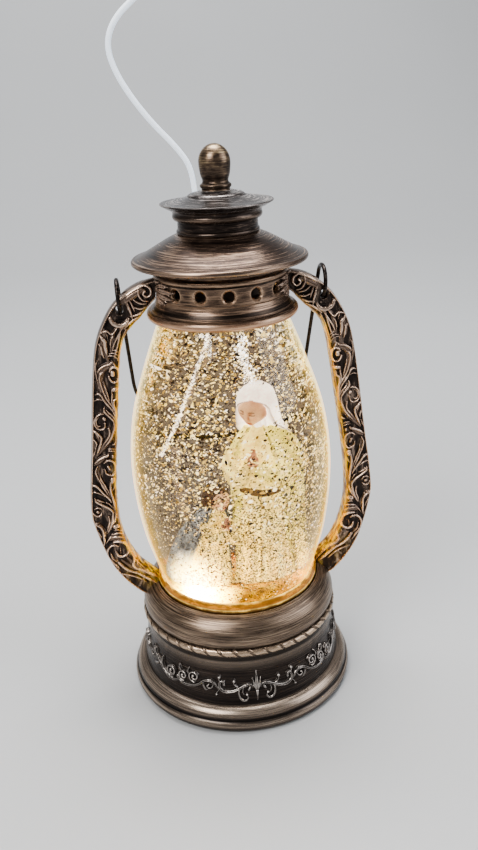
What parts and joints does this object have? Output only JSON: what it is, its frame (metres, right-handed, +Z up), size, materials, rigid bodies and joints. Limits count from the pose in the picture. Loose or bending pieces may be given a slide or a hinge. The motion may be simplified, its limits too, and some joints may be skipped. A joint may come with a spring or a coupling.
{
  "type": "decorative lantern",
  "caption": "Free-standing lantern with a lit, stirred, water-filled globe between scrolled arms, under a vented roof, with a swinging wire bail.",
  "frame": {"origin": "on the standing surface, under the centre of the round base", "axes": "+Z up, -Y towards the front, +X towards the arm on the right of the front view"},
  "size_m": [0.1366, 0.1649, 0.3549],
  "materials": {
    "bronze": "moulded plastic, dark bronze paint with dry-brushed copper highlights",
    "inner_plastic": "black moulded plastic",
    "amber_ring": "translucent amber plastic, lit from below",
    "clear_globe": "clear wall, glossy",
    "water": "clear water with gold and silver glitter",
    "white_plastic": "white plastic",
    "stopper": "translucent white plastic that spreads the light",
    "resin_robe": "painted resin, cream robe and white veil",
    "resin_cloak": "painted resin, blue-grey cloak",
    "resin_ground": "painted resin, golden-brown ground",
    "rubber": "soft black rubber",
    "steel": "zinc-plated steel",
    "bail_wire": "dark bronze painted wire",
    "magnet": "nickel-plated magnet",
    "motor_can": "rolled steel can",
    "board": "green circuit board",
    "led": "warm white light-emitting diode",
    "cell": "plain dark sleeve",
    "contact": "nickel-plated spring steel",
    "wire": "thin insulated wire",
    "lead": "smooth white cable jacket"
  },
  "bodies": {
    "lantern": {"base_shell": "bronze", "pedestal_shell": "bronze", "seat_ring": "amber_ring", "bottom_plate": "inner_plastic", "rubber_feet": "rubber", "base_screws": "steel", "battery_door": "inner_plastic", "door_screw": "steel", "batteries": "cell", "battery_contacts": "contact", "control_board": "board", "usb_socket": "contact", "switch_body": "inner_plastic", "motor": "motor_can", "motor_bracket": "white_plastic", "bracket_screws": "steel", "led_board": "board", "leds": "led", "inner_wires": "wire", "globe_shell": "clear_globe", "globe_stopper": "stopper", "stopper_seal": "rubber", "impeller_pin": "steel", "scene_base": "resin_ground", "robed_figure": "resin_robe", "kneeling_figure": "resin_cloak", "liquid_fill": "water", "neck_plug": "white_plastic", "gallery_collar": "bronze", "roof": "bronze", "roof_screws": "steel", "chimney": "bronze", "crown_cap": "bronze", "finial_knob": "bronze", "finial_screw": "steel", "left_arm": "bronze", "right_arm": "bronze", "arm_screws": "steel", "inlet_plug_tip": "contact", "inlet_plug": "lead", "lead_cord": "lead", "far_plug": "lead", "far_plug_shell": "contact", "far_plug_tongue": "white_plastic"},
    "switch_slider": {"switch_knob": "inner_plastic"},
    "magnet_rotor": {"motor_shaft": "steel", "magnet_carrier": "white_plastic", "drive_magnets": "magnet"},
    "impeller": {"impeller": "white_plastic", "impeller_magnets": "magnet"},
    "bail": {"bail_handle": "bail_wire"}
  },
  "joints": [
    {"name": "bail_swing", "type": "hinge", "parent": "lantern", "child": "bail", "pos_m": [0, 0, 0.19985], "axis": [1, 0, 0], "range_deg": [0, 240]},
    {"name": "switch_slide", "type": "slide", "parent": "lantern", "child": "switch_slider", "axis": [-1, 0, 0], "range_m": [0, 0.005]},
    {"name": "rotor_spin", "type": "hinge", "parent": "lantern", "child": "magnet_rotor", "pos_m": [0, 0, 0.045], "axis": [0, 0, 1], "continuous": true},
    {"name": "impeller_spin", "type": "hinge", "parent": "lantern", "child": "impeller", "pos_m": [0, 0, 0.0575], "axis": [0, 0, 1], "continuous": true}
  ],
  "couplings": [
    {"joint": "impeller_spin", "follows": "rotor_spin", "ratio": 1}
  ]
}
